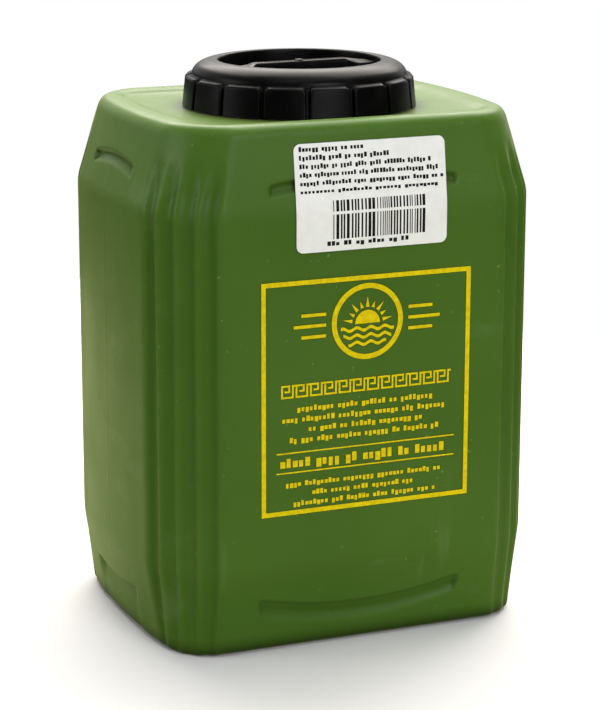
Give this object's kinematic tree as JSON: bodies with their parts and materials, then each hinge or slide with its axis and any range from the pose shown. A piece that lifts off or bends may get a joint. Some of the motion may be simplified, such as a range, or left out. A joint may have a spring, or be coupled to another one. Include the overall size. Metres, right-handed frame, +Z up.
{
  "type": "plastic canister of olives",
  "caption": "Sealed rectangular blow-moulded food canister with fluted corners, bevelled top and base, wide lugged screw cap and paper label.",
  "frame": {"origin": "middle of the flat base", "axes": "+Z up through the cap, -Y out of the printed front, X across the front; the mould's parting line lies in the plane Y = 0"},
  "size_m": [0.2118, 0.1667, 0.2848],
  "materials": {
    "body": "olive green polyethylene, satin",
    "cap": "black moulded plastic, satin",
    "label": "white paper",
    "print": "yellow screen print",
    "label_print": "black thermal print"
  },
  "bodies": {
    "root": {"body": "body", "cap": "cap", "label": "label"}
  },
  "joints": []
}
